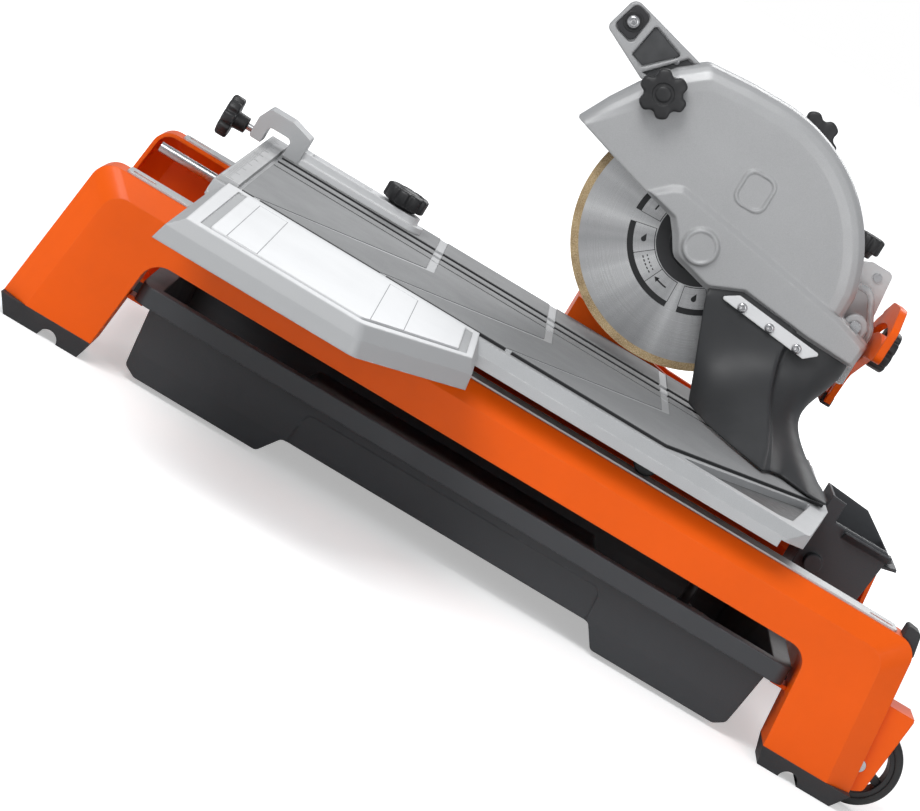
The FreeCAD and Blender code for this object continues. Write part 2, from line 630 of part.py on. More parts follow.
def guard_inner():
    back = 165.0
    skin = prism("xz", GUARD_FULL, 134.6, back).common(box(-90, 245, 130, 170, 290, 520))
    body = skin.cut(prism("xz", GUARD_IN, 130, back - 3))
    body = body.cut(cyl("y", BX, BZ, 34, 150, 170)).cut(box(BX - 34, BX + 34, 150, 170, 290, BZ))
    body = body.cut(cyl("y", 136.5, 487, 4.2, 150, 170))
    return max(body.Solids, key=lambda s: s.Volume)


def guard_screws():
    heads = [cyl("y", x, z, 5, 94.2, 97.0) for x, z in ((158, 314.5), (191, 311), (224, 307.5))]
    return group([h.cut(cyl("y", h.BoundBox.Center.x, h.BoundBox.Center.z, 2, 94, 95.6)) for h in heads])


def flap_plate():
    return prism("xz", [(133, 312.5, 2), (150, 323.5, 2), (248, 314, 2), (234, 302, 2)], 97.0, 99.4)


def flap_section(z, pts, t):
    """Closed thin loop: a smooth curve and its offset, joined at the ends."""
    front = Part.BSplineCurve()
    front.interpolate([V(x, y, z) for x, y in pts])
    inner = []
    for i, (x, y) in enumerate(pts):
        a = pts[max(i - 1, 0)]
        b = pts[min(i + 1, len(pts) - 1)]
        d = V(b[0] - a[0], b[1] - a[1], 0)
        d.normalize()
        inner.append(V(x - d.y * t, y + d.x * t, z))
    back = Part.BSplineCurve()
    back.interpolate(list(reversed(inner)))
    ends = [V(pts[0][0], pts[0][1], z), V(pts[-1][0], pts[-1][1], z)]
    return Part.Wire([front.toShape(), Part.makeLine(ends[1], inner[-1]), back.toShape(),
                      Part.makeLine(inner[0], ends[0])])


def splash_flap():
    rows = [(316, [(124, 100.2), (165, 100.2), (215, 100.2), (250, 103), (274, 116), (278, 138), (262, 156)]),
            (300, [(126, 100.6), (166, 100.6), (212, 100.6), (248, 103), (271, 116), (275, 138), (260, 156)]),
            (272, [(135, 99), (172, 98), (217, 96), (245, 98), (262, 113), (266, 138), (254, 155)]),
            (246, [(146, 96), (178, 86), (225, 60), (248, 72), (262, 100), (262, 132), (250, 152)]),
            (222, [(156, 94), (186, 50), (235, -10), (270, 12), (292, 50), (288, 104), (258, 146)]),
            (206.6, [(162, 94), (192, 20), (236, -50), (292, -36), (316, 20), (300, 96), (268, 140)])]
    wires = [flap_section(z, pts, 2.4) for z, pts in rows]
    return Part.makeLoft(wires, True, False)


def handle_bracket(keep_out):
    body = prism("xz", [(-95, 478, 6), (-85, 516, 9), (8, 492, 4), (8, 470), (-40, 451, 6)], 135, 151)
    recess = prism("xz", [(-61, 467, 3), (-54.5, 504, 4), (-18, 491, 3), (-21, 486, 3), (-46, 461, 3)],
                   134, 139)
    strip = prism("xz", [(-43, 457.5), (-11, 492.5), (-1, 490), (-1, 452)], 134, 139)
    seat = prism("xz", [(-90.5, 482, 6), (-81.5, 512.5, 6), (-62, 508, 6), (-66, 475, 5)], 134, 136.5)
    return body.cut(recess).cut(strip).cut(seat).cut(keep_out)


def handle_grip():
    seat = [(-89.5, 483, 5), (-81, 511.5, 5), (-63, 507, 5), (-67, 476.5, 5)]
    front = prism("xz", seat, 133.4, 136.5)
    bar = cyl("y", -72, 490, 12, 151, 252)
    bar = bar.makeFillet(4, [e for e in bar.Edges if e.Curve.TypeId == "Part::GeomCircle"][-1:])
    return group([front, bar])


def head_fasteners():
    bolt = cyl("y", -75.5, 495, 6, 130.8, 133.4).cut(cyl("y", -75.5, 495, 3, 130, 132.4))
    rivet = cyl("y", PIN_X - 1, 403, 4.5, 162.5, 165)
    clips = [cyl("y", x, z, 4, 165, 168) for x, z in ((30, 470), (190, 440))]
    return group([bolt, rivet] + clips)


def hinge_plate():
    plate = prism("xz", [(205, 392, 4), (252, 414, 6), (275, 414, 6), (280, 372, 8), (282, 345, 8),
                         (276, 336, 6),
                         (250, 336, 4), (236, 352), (205, 360, 4)], 165, 169)
    return plate.cut(cyl("y", PIN_X, PIN_Z, PIN_R + FIT, 160, 175))


def water_hose():
    return pipe([(245.3, 150, 388), (264, 150, 388), (284, 150, 352), (284, 150, 296)], 3.6, 12)


def switch_box():
    body = prism("xz", rect(60, 125, 385, 434, 5), 232, 282)
    body = body.cut(cyl("y", BX, BZ, MOTOR_R + 4.2, 225, 290))
    return body.cut(box(BX - 9, BX + 9, 244, 270, 424, 440))


def switch_rocker():
    body = prism("yz", [(246, 426.5), (268, 426.5), (268, 436, 1), (257, 434), (246, 437.5, 1)], BX - 8,
                 BX + 8)
    return join([body, cyl("x", 257, 431, 1.6, BX - 8.9, BX + 8.9)])


def power_cord():
    return pipe([(80, 316, 312), (80, 345, 312), (64, 345, 250), (34, 345, 236)], 4.0, 14)


def depth_knob():
    head = fluted("z", 241, 198, 15, 418, 435, 8, 2.2)
    return join([head, cyl("z", 241, 198, 9, 412, 419), cyl("z", 241, 198, 4, 372, 414)])


def star_front():
    head = star(-16, 452, 24.5, 85, 101, 6)
    hub = cyl("y", -16, 452, 10, 100, 104.6)
    cap = cyl("y", -16, 452, 9, 83.5, 86)
    return join([head, hub, cap, cyl("y", -16, 452, 4, 104, 129)])


def star_rear():
    head = star(136.5, 487, 26, 172, 188, 6)
    hub = cyl("y", 136.5, 487, 9, 165.3, 173)
    return join([head, hub, cyl("y", 136.5, 487, 4, 158, 166)])


# ---- blade ----
def blade_disc():
    disc = cyl("y", BX, BZ, BLADE_R - 8, BY - BLADE_T / 2, BY + BLADE_T / 2)
    return disc.cut(cyl("y", BX, BZ, 8, BY - 5, BY + 5))


def blade_rim():
    ring = cyl("y", BX, BZ, BLADE_R, BY - 1.05, BY + 1.05)
    return ring.cut(cyl("y", BX, BZ, BLADE_R - 8, BY - 5, BY + 5))


def blade_flange():
    y0 = BY - BLADE_T / 2
    outer = join([cyl("y", BX, BZ, 43, y0 - 1.6, y0), Part.makeCone(26, 30, 5, V(BX, y0 - 6.5, BZ),
                                                                    V(0, 1, 0))])
    inner = cyl("y", BX, BZ, 30, BY + BLADE_T / 2, BY + BLADE_T / 2 + 12)
    return group([outer.cut(cyl("y", BX, BZ, 8, 100, 140)), inner.cut(cyl("y", BX, BZ, 8, 120, 150))])


def arbor_nut():
    y1 = BY - BLADE_T / 2 - 6.6
    pts = [(BX + 15 * math.cos(math.radians(60 * i)), BZ + 15 * math.sin(math.radians(60 * i))) for i in range(6)]
    return prism("xz", pts, y1 - 9, y1).cut(cyl("y", BX, BZ, 8, 100, 130))


def motor_shaft():
    return cyl("y", BX, BZ, 8, 113, 194)


# ---- water tray ----
def water_tray():
    """Tray with a rim that rests on the ledges and two deeper wells, one at each end."""
    w, f = WELL_Z, WELL_Z + WELL_WALL
    prof = [(-321, 85), (-314, 12, 6), (-302, w, 6), (-175, w, 6), (-160, 27, 6),
            (160, 27, 6), (175, w, 6), (304, w, 6), (314, 12, 6), (321, 85)]
    inn = [(-317, 90), (-310.5, 16, 4), (-300, f, 4), (-177, f, 4), (-162, 30.5, 4),
           (162, 30.5, 4), (177, f, 4), (302, f, 4), (310.5, 16, 4), (317, 90)]
    body = prism("xz", prof, -208, 208)
    for s in (-1, 1):
        wedge = prism("yz", [(s * 208, 84), (s * 212, 84), (s * 212, 0), (s * 190.7, 0), (s * 198, 28)],
                      -330, 330)
        body = body.cut(wedge)
    rim = prism("xy", rect(-336, 336, -219, 219, 14), 70, 88).cut(prism("xy",
                                                                        rect(-332.5, 332.5, -215.5, 215.5,
                                                                             11),
                                                                  69, 84.5))
    body = join([body, rim])
    hollow = prism("xz", inn, -204, 204)
    for s in (-1, 1):
        hollow = hollow.cut(prism("yz", [(s * 204, 92), (s * 206, 92), (s * 206, 5), (s * 188, 5),
                                         (s * 194, 31)],
                                  -330, 330))
    body = body.cut(hollow)
    recess = prism("xz", [(-156, 20), (-152, 60, 9), (154, 60, 9), (158, 20)], -215, 215)
    for s in (-1, 1):
        wedge = prism("yz", [(s * 215, 60), (s * 201.9, 60), (s * 196.2, 28), (s * 196.2, 20),
                             (s * 215, 20)], -200, 200)
        body = body.cut(recess.common(wedge))
    return body.cut(cyl("z", 245, 120, 9, 0, 20))


def drain_plug():
    f = WELL_Z + WELL_WALL
    return join([cyl("z", 245, 120, 12, WELL_Z - 4, WELL_Z), cyl("z", 245, 120, 8.9, WELL_Z, f + 2),
                 cyl("z", 245, 120, 12, f, f + 3)])


def pump():
    body = prism("xy", rect(215, 275, -60, -10, 8), WELL_Z + WELL_WALL, 55)
    grille = [box(214, 276, -61, -58.5, z, z + 2) for z in (20, 26, 32, 38)]
    spout = pipe([(245, -35, 54), (245, -35, 77), (245, 40, 77), (180, 60, 77)], 5, 12)
    return join([body.cut(group(grille)), cyl("z", 245, -35, 8, 54, 60), spout])


def main():
    os.makedirs("parts", exist_ok=True)
    shell = frame_shell()
    guard_solid = join([prism("xz", GUARD_FULL, 120, 170)])
    front_wheel, front_tyre = wheel(), tyre()
    nodes = {
        "frame_shell": shell,
        "track_caps": track_caps(),
        "cross_members": cross_members(shell),
        "feet": feet(),
        "guide_rod": guide_rod(),
        "column": column(),
        "wheel_brackets": wheel_brackets(shell),
        "wheel_axles": wheel_axles(),
        "corner_bumper": corner_bumper(),
        "frame_bolts": frame_bolts(),
        "wheel_front": front_wheel,
        "tyre_front": front_tyre,
        "wheel_rear": flip_y(front_wheel),
        "tyre_rear": flip_y(front_tyre),
        "cart_casting": cart_casting(),
        "deck_pads": deck_pads(),
        "end_ruler": end_ruler(),
        "cart_bushings": cart_bushings(),
        "roller_brackets": roller_brackets(),
        "roller_front_left": roller(ROLL_X[0], -1),
        "roller_front_right": roller(ROLL_X[1], -1),
        "roller_rear_left": roller(ROLL_X[0], 1),
        "roller_rear_right": roller(ROLL_X[1], 1),
        "splash_box": splash_box(),
        "extension_table": extension_table(),
        "guide_block": guide_block(),
        "guide_arm": guide_arm(),
        "side_knob": side_knob(),
        "top_knob": top_knob(),
        "cradle": cradle(),
        "hinge_pin": hinge_pin(),
        "bevel_knob": bevel_knob(),
        "head_arm": head_arm(),
        "motor_housing": motor_housing(),
        "motor_endbell": motor_endbell(),
        "guard_inner": guard_inner(),
        "handle_bracket": handle_bracket(guard_solid),
        "handle_grip": handle_grip(),
        "head_fasteners": head_fasteners(),
        "hinge_plate": hinge_plate(),
        "water_hose": water_hose(),
        "switch_box": switch_box(),
        "switch_rocker": switch_rocker(),
        "power_cord": power_cord(),
        "depth_knob": depth_knob(),
        "star_knob_rear": star_rear(),
        "motor_shaft": motor_shaft(),
        "blade_disc": blade_disc(),
        "blade_rim": blade_rim(),
        "blade_flange": blade_flange(),
        "arbor_nut": arbor_nut(),
        "guard_outer": guard_outer(),
        "flap_plate": flap_plate(),
        "flap_screws": guard_screws(),
        "splash_flap": splash_flap(),
        "star_knob_front": star_front(),
        "water_tray": water_tray(),
        "drain_plug": drain_plug(),
        "pump": pump(),
    }
    for name, shape in nodes.items():
        good = shape.isValid() and all(s.isValid() and s.Volume > 0 for s in shape.Solids)
        print("%-20s solids %d volume %.0f %s" % (name, len(shape.Solids), shape.Volume,
                                                  "" if good else "BAD"))
        moved = shape.copy()
        moved.translate(V(FEET_X, FEET_Y, 0))
        moved.exportStep("parts/" + name + ".step")


main()
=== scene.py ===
import math

import bmesh
import bpy
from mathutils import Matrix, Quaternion, Vector

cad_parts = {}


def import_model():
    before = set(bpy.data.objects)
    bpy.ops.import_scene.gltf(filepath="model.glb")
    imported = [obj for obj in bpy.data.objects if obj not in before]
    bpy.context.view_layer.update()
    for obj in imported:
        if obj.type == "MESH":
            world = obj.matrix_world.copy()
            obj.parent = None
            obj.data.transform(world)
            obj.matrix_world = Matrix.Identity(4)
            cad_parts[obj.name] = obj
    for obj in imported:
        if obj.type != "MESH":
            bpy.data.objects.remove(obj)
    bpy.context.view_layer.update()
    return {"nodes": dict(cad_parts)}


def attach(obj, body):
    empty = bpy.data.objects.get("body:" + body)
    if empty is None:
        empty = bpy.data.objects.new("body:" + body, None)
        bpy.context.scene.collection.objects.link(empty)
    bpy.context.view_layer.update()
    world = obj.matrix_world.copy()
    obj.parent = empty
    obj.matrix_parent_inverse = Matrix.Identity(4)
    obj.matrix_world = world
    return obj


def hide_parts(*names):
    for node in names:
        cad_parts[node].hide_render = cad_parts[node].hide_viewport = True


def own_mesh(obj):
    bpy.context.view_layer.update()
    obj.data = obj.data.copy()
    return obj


# Wet saw with a rolling cart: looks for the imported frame.  Metres, in the frame of the CAD.
# Laid-out positions are given from the point on the floor midway between the four feet.
FEET = Vector((-0.0185, 0.087, 0.0))
BLADE_X, BLADE_Y, BLADE_Z = 0.0925, 0.133, 0.344
BLADE = Vector((BLADE_X, BLADE_Y, BLADE_Z)) + FEET
HALF_BLADE = 0.0011                # half the thickness of its steel disc
INK_PROUD, INK_SUNK = 0.00012, 0.00002
BEVEL_AXIS = (0.133, 0.204)        # Y and Z of the mitre tilt
BEVEL_KNOB_REACH = 0.1612          # from that axis to the lock knob
WHEEL_SPOT, WHEEL_Y = (0.435, 0.043), 0.184
HANDLE_BOLT = (-0.0755, 0.495)     # X and Z of the grip's screw
TURN_STEPS = 144                   # steps round a turned piece
MM_IN_M = 1000.0
FLAP_THICK = 0.0022
FOLD_CREASE, RIM_CREASE = 0.85, 0.7
EDGE_SEGMENTS = 3
CAMERA_PLACE, CAMERA_AIM = (-0.1568, -3.1008, 0.5962), (-0.02583, 0.133, 0.08361)
CAMERA_LENS, CAMERA_ROLL = 129.4, 31.29
FLOOR_HALF = 60

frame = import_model()
nodes = frame["nodes"]
scene = bpy.context.scene


# ---- materials ----
class Nodes:
    """Short names for building a node tree."""

    def __init__(self, name):
        self.mat = bpy.data.materials.new(name)
        self.mat.use_nodes = True
        self.tree = self.mat.node_tree
        self.shader = self.tree.nodes["Principled BSDF"]
        self.place = self.add("ShaderNodeTexCoord").outputs["Object"]

    def add(self, kind, **values):
        node = self.tree.nodes.new(kind)
        for key, value in values.items():
            setattr(node, key, value)
        return node

    def link(self, out, into):
        self.tree.links.new(out, into)

    def math(self, how, a, b=0.0, clamp=False):
        node = self.add("ShaderNodeMath", operation=how, use_clamp=clamp)
        for i, value in enumerate((a, b)):
            if isinstance(value, (int, float)):
                node.inputs[i].default_value = value
            else:
                self.link(value, node.inputs[i])
        return node.outputs[0]

    def noise(self, scale, detail=3.0, rough=0.5, place=None):
        node = self.add("ShaderNodeTexNoise")
        node.inputs["Scale"].default_value = scale
        node.inputs["Detail"].default_value = detail
        node.inputs["Roughness"].default_value = rough
        self.link(place or self.place, node.inputs["Vector"])
        return node.outputs["Fac"]

    def stretch(self, x, y, z):
        node = self.add("ShaderNodeMapping")
        node.inputs["Scale"].default_value = (x, y, z)
        self.link(self.place, node.inputs["Vector"])
        return node.outputs[0]

    def span(self, value, lo, hi, out_lo=0.0, out_hi=1.0):
        node = self.add("ShaderNodeMapRange")
        self.link(value, node.inputs["Value"])
        for key, number in (("From Min", lo), ("From Max", hi), ("To Min", out_lo), ("To Max", out_hi)):
            node.inputs[key].default_value = number
        return node.outputs[0]

    def mix(self, share, a, b):
        node = self.add("ShaderNodeMix", data_type="RGBA")
        if isinstance(share, (int, float)):
            node.inputs[0].default_value = share
        else:
            self.link(share, node.inputs[0])
        for i, value in ((6, a), (7, b)):
            if isinstance(value, tuple):
                node.inputs[i].default_value = value + (1.0,) if len(value) == 3 else value
            else:
                self.link(value, node.inputs[i])
        return node.outputs[2]

    def set(self, name, value):
        if isinstance(value, (int, float, tuple)):
            self.shader.inputs[name].default_value = value
        else:
            self.link(value, self.shader.inputs[name])


def shade(color, factor):
    return tuple(min(1.0, c * factor) for c in color)


def finish_of(name, color, rough, metal=0.0, coat=0.0, spread=0.10, blotch=9.0, grain=900.0,
              grain_height=0.00002, dimple=0.0, dimple_scale=150.0, wear=None, wear_share=0.5,
              round_edge=0.0012, speck=0.0, streak=None, streak_share=0.0, ior=1.5, sunk_shade=None):
    """Painted, cast, rubber or plastic finish: tone blotches, fine grain, soft edges, rubbed edges, and an
    optional painted shade that darkens the colour below a given height.
    """
    n = Nodes(name)
    tone = n.mix(n.span(n.noise(blotch, 4.0, 0.6), 0.3, 0.7), shade(color, 1.0 - spread),
                 shade(color, 1.0 + spread))
    fine = n.noise(grain, 2.0)
    if speck:
        tone = n.mix(n.span(fine, 0.35, 0.75, 0.0, speck), tone, shade(color, 1.9))
    if streak:
        lines = n.noise(1.0, 2.0, 0.6, n.stretch(*streak))
        tone = n.mix(n.span(lines, 0.3, 0.7, 0.0, streak_share), tone, shade(color, 0.62))
    # painted shade: below a given height (object Z) the colour goes over to a darker colour, standing in for
    # shade in grooves and on sides under a top face
    if sunk_shade:
        shade_height = n.add("ShaderNodeSeparateXYZ")
        n.link(n.place, shade_height.inputs[0])
        tone = n.mix(n.span(shade_height.outputs[2], sunk_shade[0], sunk_shade[1]), tone, sunk_shade[2])
    soft = n.add("ShaderNodeBevel", samples=4)
    soft.inputs["Radius"].default_value = round_edge
    if wear:
        flat = n.add("ShaderNodeNewGeometry").outputs["Normal"]
        dot = n.add("ShaderNodeVectorMath", operation="DOT_PRODUCT")
        n.link(soft.outputs[0], dot.inputs[0])
        n.link(flat, dot.inputs[1])
        edge = n.span(dot.outputs["Value"], 0.985, 0.90)
        rubbed = n.math("MULTIPLY", edge, n.span(n.noise(70.0, 5.0, 0.65), 0.45, 0.65), True)
        tone = n.mix(n.math("MULTIPLY", rubbed, wear_share), tone, wear)
    n.set("Base Color", tone)
    bump = n.add("ShaderNodeBump")
    bump.inputs["Strength"].default_value = 1.0
    height = n.math("MULTIPLY", fine, grain_height)
    if dimple:
        height = n.math("ADD", height, n.math("MULTIPLY", n.noise(dimple_scale, 3.0), dimple))
    bump.inputs["Distance"].default_value = 1.0
    n.link(height, bump.inputs["Height"])
    n.link(soft.outputs[0], bump.inputs["Normal"])
    n.set("Normal", bump.outputs[0])
    uneven = n.noise(blotch * 3.0, 4.0, 0.6)
    n.set("Roughness", n.span(uneven, 0.3, 0.7, max(0.02, rough - 0.05), rough + 0.06))
    n.set("Metallic", metal)
    n.set("IOR", ior)
    n.set("Coat Weight", coat)
    n.set("Coat Roughness", 0.12)
    return n.mat


orange = finish_of("orange_paint", (0.89, 0.112, 0.0012), 0.42, coat=0.10, spread=0.05, grain=1400.0,
                   grain_height=0.000006, dimple=0.00006, dimple_scale=160.0, wear=(0.62, 0.22, 0.08),
                   wear_share=0.3, round_edge=0.0018, ior=1.28)
silver = finish_of("silver_paint", (0.43, 0.432, 0.435), 0.40, metal=0.30, coat=0.12, spread=0.04,
                   grain=1800.0, grain_height=0.000008, speck=0.18, dimple=0.00005, dimple_scale=120.0,
                   wear=(0.62, 0.62, 0.62), wear_share=0.5, round_edge=0.0035)
cast = finish_of("cast_aluminium", (0.47, 0.475, 0.48), 0.42, metal=0.30, spread=0.05, grain=1500.0,
                 grain_height=0.00002, speck=0.15, dimple=0.00005, dimple_scale=260.0,
                 wear=(0.80, 0.80, 0.80), wear_share=0.7, round_edge=0.0016)
# pale_cast carries painted shade: darker grey below a height just under the extension table's top face, in
# its groove and down its sides
pale_cast = finish_of("pale_cast", (0.84, 0.845, 0.85), 0.45, metal=0.08, spread=0.035, grain=1500.0,
                      grain_height=0.00002, speck=0.12, dimple=0.00004, dimple_scale=260.0,
                      wear=(0.88, 0.88, 0.88), wear_share=0.7, round_edge=0.002,
                      sunk_shade=(0.2031, 0.2016, (0.42, 0.425, 0.43)))
pale_plain = finish_of("pale_paint", (0.72, 0.725, 0.73), 0.42, metal=0.15, spread=0.04, grain=1500.0,
                       grain_height=0.00002, speck=0.12, dimple=0.00004, dimple_scale=260.0,
                       wear=(0.88, 0.88, 0.88), wear_share=0.6, round_edge=0.0016)
bright = finish_of("machined_aluminium", (0.66, 0.66, 0.66), 0.34, metal=0.55, spread=0.04, grain=1500.0,
                   grain_height=0.000008, streak=(25.0, 1400.0, 25.0), streak_share=0.35, round_edge=0.0006)
steel = finish_of("steel", (0.56, 0.56, 0.57), 0.28, metal=1.0, spread=0.07, blotch=40.0, grain=2500.0,
                  grain_height=0.000004, streak=(20.0, 1800.0, 1800.0), streak_share=0.35, round_edge=0.0006)
# pad_rubber carries painted shade: near black below the deck pads' top face, on their sides and in the gaps
# between them
pad_rubber = finish_of("pad_rubber", (0.235, 0.237, 0.24), 0.62, spread=0.08, blotch=14.0, grain=1300.0,
                       grain_height=0.00005, speck=0.25, dimple=0.00004, dimple_scale=500.0,
                       wear=(0.25, 0.25, 0.25), wear_share=0.5, round_edge=0.0008,
                       sunk_shade=(0.2038, 0.2030, (0.010, 0.010, 0.011)))
flap_rubber = finish_of("flap_rubber", (0.028, 0.029, 0.031), 0.50, spread=0.12, blotch=10.0, grain=1300.0,
                        grain_height=0.00002, dimple=0.00012, dimple_scale=34.0, wear=(0.10, 0.10, 0.10),
                        wear_share=0.5)
foot_rubber = finish_of("foot_rubber", (0.026, 0.026, 0.028), 0.60, spread=0.15, blotch=20.0, grain=1000.0,
                        grain_height=0.00005, speck=0.2, dimple=0.00008, dimple_scale=220.0,
                        wear=(0.10, 0.095, 0.09), wear_share=0.7, round_edge=0.002)
tray_plastic = finish_of("tray_plastic", (0.040, 0.042, 0.046), 0.42, spread=0.08, blotch=7.0, grain=1600.0,
                         grain_height=0.00004, speck=0.12, dimple=0.00005, dimple_scale=420.0,
                         wear=(0.12, 0.12, 0.125), wear_share=0.5, round_edge=0.0025)
knob_plastic = finish_of("knob_plastic", (0.018, 0.018, 0.019), 0.45, spread=0.15, blotch=50.0, grain=2200.0,
                         grain_height=0.00003, speck=0.2, wear=(0.08, 0.08, 0.08), wear_share=0.6,
                         round_edge=0.0014)
motor_paint = finish_of("motor_paint", (0.026, 0.026, 0.028), 0.38, spread=0.10, blotch=20.0, grain=1500.0,
                        grain_height=0.00002, speck=0.1, dimple=0.00004, dimple_scale=260.0,
                        wear=(0.30, 0.30, 0.30), wear_share=0.35)
tyre_rubber = finish_of("tyre_rubber", (0.020, 0.020, 0.020), 0.65, spread=0.2, blotch=40.0, grain=1500.0,
                        grain_height=0.00005, speck=0.2, wear=(0.10, 0.095, 0.09), wear_share=0.6)
red_plastic = finish_of("red_plastic", (0.55, 0.02, 0.02), 0.22, coat=0.4, spread=0.08, blotch=80.0,
                        grain=2500.0, grain_height=0.000008, wear=(0.8, 0.2, 0.2), wear_share=0.3,
                        round_edge=0.0008)


def radial(n, origin):
    """Distance from the blade axis, and the angle round it as -1..1."""
    shift = n.add("ShaderNodeVectorMath", operation="SUBTRACT")
    n.link(n.place, shift.inputs[0])
    shift.inputs[1].default_value = origin
    part = n.add("ShaderNodeSeparateXYZ")
    n.link(shift.outputs[0], part.inputs[0])
    square = n.math("ADD", n.math("MULTIPLY", part.outputs[0], part.outputs[0]),
                    n.math("MULTIPLY", part.outputs[2], part.outputs[2]))
    angle = n.math("DIVIDE", n.math("ARCTAN2", part.outputs[2], part.outputs[0]), math.pi)
    return n.math("SQRT", square), angle, part


def blade_steel():
    """Turned steel: fine rings, and a few broad bright fans that spread from the centre, a painted reflection
    standing in for the sheen of the turned steel.
    """
    n = Nodes("blade_steel")
    r, angle, _ = radial(n, BLADE)
    ring = n.add("ShaderNodeTexNoise", noise_dimensions="1D")
    ring.inputs["Scale"].default_value = 2600.0
    ring.inputs["Detail"].default_value = 2.0
    n.link(r, ring.inputs["W"])
    sheen_fan = n.add("ShaderNodeTexNoise", noise_dimensions="1D")
    sheen_fan.inputs["Scale"].default_value = 5.0
    sheen_fan.inputs["Detail"].default_value = 3.0
    n.link(angle, sheen_fan.inputs["W"])
    # painted reflection: the colour goes bright and dark in broad sectors round the blade centre, standing in
    # for the sheen of the turned steel
    base = n.mix(n.span(sheen_fan.outputs[0], 0.36, 0.64), (0.40, 0.40, 0.41), (0.82, 0.82, 0.82))
    base = n.mix(n.span(ring.outputs[0], 0.3, 0.7, 0.0, 0.35), base, (0.28, 0.28, 0.28))
    base = n.mix(n.span(n.noise(30.0, 4.0, 0.7), 0.55, 0.8, 0.0, 0.25), base, (0.30, 0.28, 0.26))
    n.set("Base Color", base)
    n.set("Metallic", 0.85)
    n.set("Roughness", n.span(ring.outputs[0], 0.3, 0.7, 0.26, 0.44))
    n.set("Anisotropic", 0.75)
    tangent = n.add("ShaderNodeTangent", direction_type="RADIAL", axis="Y")
    n.link(tangent.outputs[0], n.shader.inputs["Tangent"])
    bump = n.add("ShaderNodeBump")
    bump.inputs["Strength"].default_value = 0.25
    bump.inputs["Distance"].default_value = 0.0001
    n.link(ring.outputs[0], bump.inputs["Height"])
    n.set("Normal", bump.outputs[0])
    return n.mat


def diamond_grit():
    n = Nodes("diamond_grit")
    grit = n.noise(900.0, 4.0, 0.7)
    base = n.mix(n.span(n.noise(60.0, 3.0), 0.35, 0.65), (0.40, 0.27, 0.13), (0.58, 0.42, 0.22))
    base = n.mix(n.span(grit, 0.5, 0.7), base, (0.80, 0.70, 0.52))
    base = n.mix(n.span(grit, 0.48, 0.33), base, (0.20, 0.13, 0.06))
    n.set("Base Color", base)
    n.set("Metallic", 0.25)
    n.set("Roughness", 0.6)
    bump = n.add("ShaderNodeBump")
    bump.inputs["Distance"].default_value = 0.0004
    n.link(grit, bump.inputs["Height"])
    n.set("Normal", bump.outputs[0])
    return n.mat


def clear_hose():
    n = Nodes("clear_hose")
    cloud = n.noise(120.0, 4.0, 0.6)
    n.set("Base Color", n.mix(n.span(cloud, 0.3, 0.7), (0.62, 0.65, 0.66), (0.85, 0.87, 0.88)))
    n.set("Roughness", n.span(cloud, 0.3, 0.7, 0.10, 0.25))
    n.set("Transmission Weight", 0.55)
    n.set("IOR", 1.35)
    n.set("Coat Weight", 0.5)
    return n.mat


disc_steel, grit, hose = blade_steel(), diamond_grit(), clear_hose()

FINISH = {
    "frame_shell": orange, "track_caps": bright, "cross_members": orange, "feet": foot_rubber,
    "guide_rod": steel, "column": orange, "wheel_brackets": orange, "wheel_axles": steel,
    "corner_bumper": foot_rubber, "frame_bolts": steel, "wheel_front": knob_plastic,
    "wheel_rear": knob_plastic, "tyre_front": tyre_rubber, "tyre_rear": tyre_rubber,
    "cart_casting": cast, "deck_pads": pad_rubber, "end_ruler": bright, "cart_bushings": knob_plastic,
    "roller_brackets": steel, "roller_front_left": knob_plastic, "roller_front_right": knob_plastic,
    "roller_rear_left": knob_plastic, "roller_rear_right": knob_plastic, "splash_box": tray_plastic,
    "extension_table": pale_cast, "guide_block": cast, "guide_arm": pale_plain,
    "side_knob": knob_plastic, "top_knob": knob_plastic, "cradle": pale_plain, "hinge_pin": steel,
    "bevel_knob": knob_plastic, "head_arm": silver, "motor_housing": motor_paint,
    "motor_endbell": motor_paint, "guard_inner": silver, "handle_bracket": silver,
    "handle_grip": foot_rubber, "head_fasteners": steel, "hinge_plate": bright, "water_hose": hose,
    "switch_box": knob_plastic, "switch_rocker": red_plastic, "power_cord": foot_rubber,
    "depth_knob": knob_plastic, "star_knob_rear": knob_plastic, "motor_shaft": steel,
    "blade_disc": disc_steel, "blade_rim": grit, "blade_flange": motor_paint, "arbor_nut": steel,
    "guard_outer": silver, "flap_plate": pale_cast, "flap_screws": steel, "splash_flap": flap_rubber,
    "star_knob_front": knob_plastic, "water_tray": tray_plastic, "drain_plug": foot_rubber,
    "pump": knob_plastic,
}
for name, finish in FINISH.items():
    nodes[name].data.materials.clear()
    nodes[name].data.materials.append(finish)


# ---- pieces ----
def mesh_piece(name, verts, faces, body, finish, smooth=True, angle=40.0):
    """Mesh laid out from the feet's midpoint, riding on a body, smooth up to an angle."""
    mesh = bpy.data.meshes.new(name)
    mesh.from_pydata([Vector(v) + FEET for v in verts], [], faces)
    mesh.materials.append(finish)
    bm = bmesh.new()
    bm.from_mesh(mesh)
    bmesh.ops.remove_doubles(bm, verts=bm.verts, dist=1e-7)
    bmesh.ops.recalc_face_normals(bm, faces=bm.faces)
    bm.to_mesh(mesh)
    bm.free()
    if smooth:
        mesh.shade_smooth()
        mesh.set_sharp_from_angle(angle=math.radians(angle))
    obj = bpy.data.objects.new(name, mesh)
    scene.collection.objects.link(obj)
    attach(obj, body)
    return obj


def onto(axis, a, b, along):
    """Point from its two cross coordinates, in X, Y, Z order, and its place along the axis."""
    return {"x": (along, a, b), "y": (a, along, b), "z": (a, b, along)}[axis]


